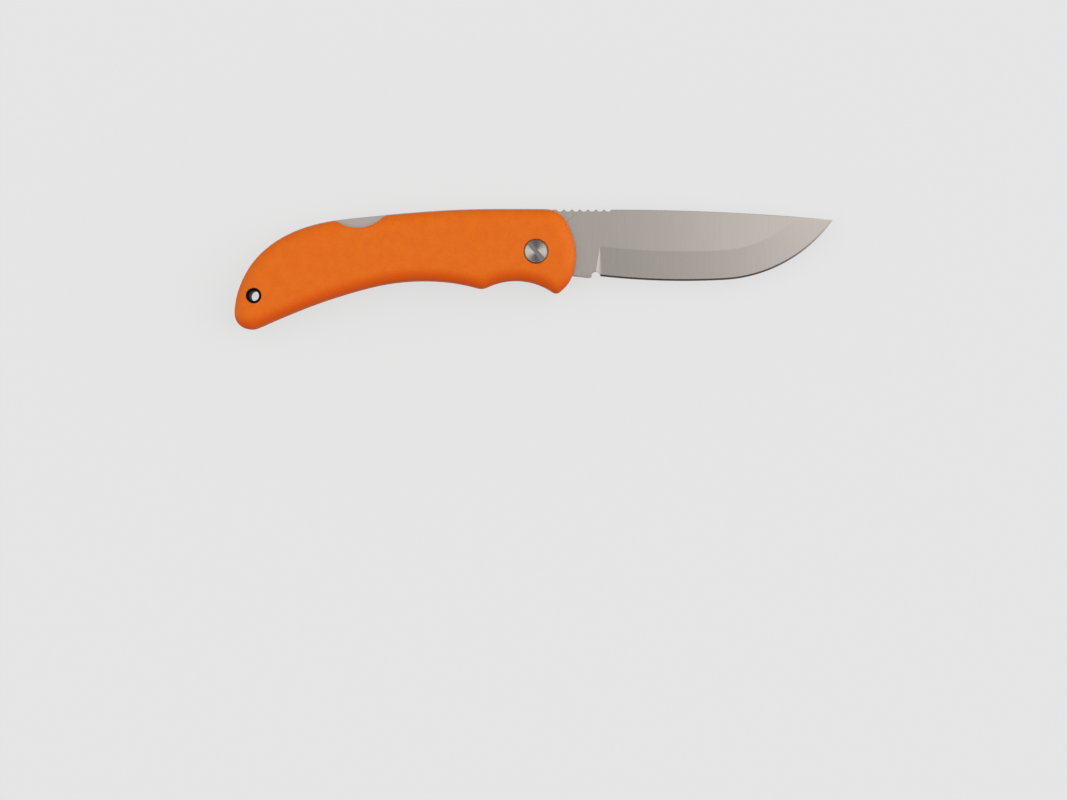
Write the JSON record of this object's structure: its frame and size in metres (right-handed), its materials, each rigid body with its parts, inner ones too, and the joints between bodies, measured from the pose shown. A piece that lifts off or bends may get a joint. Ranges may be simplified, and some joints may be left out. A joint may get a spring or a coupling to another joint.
{
  "type": "folding rigging knife",
  "caption": "Folding lock-back rigging knife, open: drop-point satin blade, curved orange moulded handle, thumb scoop over the lock bar, round pivot and lined lanyard hole.",
  "frame": {"origin": "centre of the open knife's outline, on the surface it lies on", "axes": "+X towards the blade's point, +Y towards the back of the knife, +Z through the thickness towards the front scale"},
  "size_m": [0.1842, 0.037, 0.0144],
  "materials": {
    "scale_plastic": "moulded soft-touch plastic, fine leather-like grain",
    "liner_steel": "stamped sheet, tumbled",
    "blade_steel": "satin, ground across the blade",
    "lock_steel": "ground flat",
    "spring_steel": "hardened strip",
    "pin_steel": "drawn rod",
    "pivot_steel": "turned, faced on the lathe",
    "washer_bronze": "rolled bronze sheet",
    "tube_black": "black"
  },
  "bodies": {
    "handle": {"handle_scale_front": "scale_plastic", "handle_scale_back": "scale_plastic", "liner_front": "liner_steel", "liner_back": "liner_steel", "washer_front": "washer_bronze", "washer_back": "washer_bronze", "pivot_barrel": "pivot_steel", "pivot_screw": "pivot_steel", "lock_bar_pin": "pin_steel", "lock_spring": "spring_steel", "rear_spacer": "lock_steel", "lanyard_tube": "tube_black", "spacer_rivet_upper": "pin_steel", "spacer_rivet_lower": "pin_steel"},
    "blade": {"blade": "blade_steel"},
    "lock_bar": {"lock_bar": "lock_steel"}
  },
  "joints": [
    {"name": "blade_fold", "type": "hinge", "parent": "handle", "child": "blade", "pos_m": [0.00057, 0.0053, 0.0072], "axis": [0, 0, -1], "range_deg": [0, 172]},
    {"name": "lock_release", "type": "hinge", "parent": "handle", "child": "lock_bar", "pos_m": [-0.02543, 0.0149, 0.0072], "axis": [0, 0, 1], "range_deg": [0, 3.5], "stiffness_Nm_per_rad": 2, "springref_deg": -2.86, "deforming": ["lock_spring"]}
  ]
}
